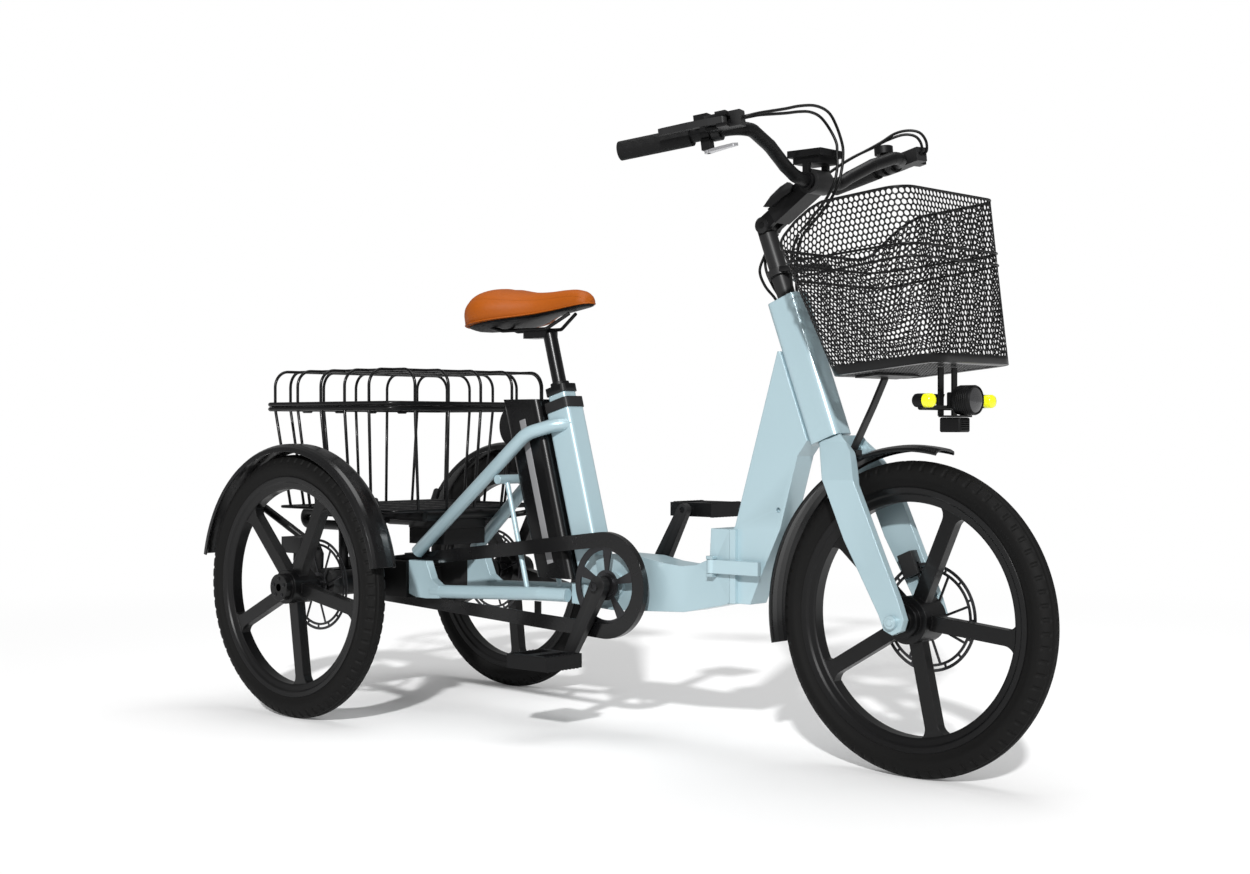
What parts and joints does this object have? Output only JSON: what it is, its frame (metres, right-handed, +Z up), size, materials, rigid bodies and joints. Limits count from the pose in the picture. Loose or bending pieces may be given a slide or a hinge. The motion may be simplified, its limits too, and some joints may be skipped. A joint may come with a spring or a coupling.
{
  "type": "cargo tricycle",
  "caption": "Folding electric cargo tricycle with cast spoked wheels, a lidded wire basket over the rear axle and a perforated front basket.",
  "frame": {"origin": "on the ground, under the centre of the whole tricycle's box", "axes": "+X forwards, the way it rides; +Y to the rider's left; +Z up"},
  "size_m": [1.7728, 0.676, 1.1045],
  "materials": {
    "blue_paint": "satin light blue-grey paint",
    "black_metal": "satin black paint",
    "black_plastic": "matt black plastic",
    "gloss_black": "gloss black plastic",
    "tyre_rubber": "matt black tyre rubber",
    "grip_rubber": "ribbed soft rubber",
    "saddle_cover": "orange-brown synthetic leather",
    "steel": "brushed steel",
    "hose": "smooth black hose"
  },
  "bodies": {
    "frame": {"seat_tube": "blue_paint", "lower_seat_collar": "black_plastic", "right_seat_stay": "blue_paint", "left_seat_stay": "blue_paint", "right_chain_stay": "blue_paint", "left_chain_stay": "blue_paint", "stay_bridges": "blue_paint", "main_beam": "blue_paint", "axle_carrier": "black_metal", "basket_rack": "black_metal", "rear_mudguards": "black_plastic", "rear_basket_floor": "black_metal", "rear_basket_sides": "black_metal", "rear_basket_ends": "black_metal", "controller_box": "black_plastic", "chain_guard": "black_plastic", "drive_chain": "steel", "rear_calipers": "black_metal"},
    "lid": {"basket_lid": "black_metal"},
    "battery": {"battery_pack": "gloss_black"},
    "crank": {"chainring": "black_metal", "crank_arms": "black_metal"},
    "pedal_right": {"right_pedal": "black_plastic"},
    "pedal_left": {"left_pedal": "black_plastic"},
    "sprocket": {"rear_sprocket": "steel"},
    "rear_wheel_right": {"right_rear_tyre": "tyre_rubber", "right_rear_wheel": "black_metal", "right_rear_rotor": "steel"},
    "rear_wheel_left": {"left_rear_tyre": "tyre_rubber", "left_rear_wheel": "black_metal", "left_rear_rotor": "steel"},
    "front_frame": {"down_tube": "blue_paint", "head_shroud": "blue_paint"},
    "frame_lock": {"frame_latch": "black_metal"},
    "steering": {"fork": "blue_paint", "front_mudguard": "black_plastic", "front_caliper": "black_metal", "front_basket": "black_metal", "basket_brackets": "black_metal", "front_lamps": "black_plastic", "stem_base": "black_metal", "lower_hoses": "hose"},
    "front_wheel_set": {"front_tyre": "tyre_rubber", "front_wheel": "black_metal", "front_rotor": "steel"},
    "cockpit": {"folding_stem": "black_metal", "handlebar": "black_metal", "grips": "grip_rubber", "bar_instruments": "black_plastic", "lever_brackets": "black_metal", "bar_hoses": "hose"},
    "stem_lock": {"stem_latch": "black_metal"},
    "lever_right": {"right_brake_lever": "black_metal"},
    "lever_left": {"left_brake_lever": "black_metal"},
    "paddle": {"shifter_paddle": "steel"},
    "inner_seat": {"inner_seat_tube": "blue_paint", "upper_seat_collar": "black_plastic"},
    "saddle": {"seatpost": "black_metal", "saddle_base": "black_plastic", "saddle_pad": "saddle_cover"}
  },
  "joints": [
    {"name": "lid_hinge", "type": "hinge", "parent": "frame", "child": "lid", "pos_m": [-0.78757, 0, 0.607], "axis": [0, -1, 0], "range_deg": [0, 100]},
    {"name": "battery_slide", "type": "slide", "parent": "frame", "child": "battery", "axis": [-0.2672, 0, 0.9636], "range_m": [0, 0.09]},
    {"name": "crank_turn", "type": "hinge", "parent": "frame", "child": "crank", "pos_m": [-0.00257, 0, 0.28], "axis": [0, 1, 0], "continuous": true},
    {"name": "right_pedal_turn", "type": "hinge", "parent": "crank", "child": "pedal_right", "pos_m": [-0.07487, -0.145, 0.14403], "axis": [0, 1, 0], "continuous": true},
    {"name": "left_pedal_turn", "type": "hinge", "parent": "crank", "child": "pedal_left", "pos_m": [0.06973, 0.145, 0.41597], "axis": [0, 1, 0], "continuous": true},
    {"name": "sprocket_turn", "type": "hinge", "parent": "frame", "child": "sprocket", "pos_m": [-0.61157, 0, 0.258], "axis": [0, 1, 0], "continuous": true},
    {"name": "right_rear_wheel_turn", "type": "hinge", "parent": "frame", "child": "rear_wheel_right", "pos_m": [-0.61157, -0.2965, 0.258], "axis": [0, 1, 0], "continuous": true},
    {"name": "left_rear_wheel_turn", "type": "hinge", "parent": "frame", "child": "rear_wheel_left", "pos_m": [-0.61157, 0.2965, 0.258], "axis": [0, 1, 0], "continuous": true},
    {"name": "frame_fold", "type": "hinge", "parent": "frame", "child": "front_frame", "pos_m": [0.26743, 0.043, 0.327], "axis": [0, 0, 1], "range_deg": [0, 130]},
    {"name": "frame_latch_turn", "type": "hinge", "parent": "frame", "child": "frame_lock", "pos_m": [0.23343, -0.0403, 0.326], "axis": [0, 0, -1], "range_deg": [0, 120]},
    {"name": "steering_turn", "type": "hinge", "parent": "front_frame", "child": "steering", "pos_m": [0.46143, 0, 0.549], "axis": [-0.3535, 0, 0.9354], "range_deg": [-45, 45]},
    {"name": "front_wheel_turn", "type": "hinge", "parent": "steering", "child": "front_wheel_set", "pos_m": [0.62843, 0, 0.258], "axis": [0, 1, 0], "continuous": true},
    {"name": "stem_fold", "type": "hinge", "parent": "steering", "child": "cockpit", "pos_m": [0.32843, 0, 0.919], "axis": [0, -1, 0], "range_deg": [0, 130]},
    {"name": "stem_latch_turn", "type": "hinge", "parent": "cockpit", "child": "stem_lock", "pos_m": [0.39343, -0.024, 0.974], "axis": [0, 1, 0], "range_deg": [0, 90]},
    {"name": "right_brake_squeeze", "type": "hinge", "parent": "cockpit", "child": "lever_right", "pos_m": [0.45402, -0.28079, 1.05346], "axis": [0.1177, 0.0368, -0.9924], "range_deg": [0, 10], "stiffness_Nm_per_rad": 2, "springref_deg": -5.73},
    {"name": "left_brake_squeeze", "type": "hinge", "parent": "cockpit", "child": "lever_left", "pos_m": [0.45402, 0.28079, 1.05346], "axis": [-0.1177, 0.0368, 0.9924], "range_deg": [0, 10], "stiffness_Nm_per_rad": 2, "springref_deg": -5.73},
    {"name": "shifter_push", "type": "hinge", "parent": "cockpit", "child": "paddle", "pos_m": [0.4086, -0.25936, 1.01028], "axis": [0.1177, 0.0368, -0.9924], "range_deg": [0, 25], "stiffness_Nm_per_rad": 0.5, "springref_deg": -11.46},
    {"name": "inner_tube_slide", "type": "slide", "parent": "frame", "child": "inner_seat", "axis": [-0.2672, 0, 0.9636], "range_m": [0, 0.08]},
    {"name": "seatpost_slide", "type": "slide", "parent": "inner_seat", "child": "saddle", "axis": [-0.2672, 0, 0.9636], "range_m": [-0.05, 0.1]}
  ],
  "couplings": [
    {"joint": "sprocket_turn", "follows": "crank_turn", "ratio": 2.2222}
  ]
}
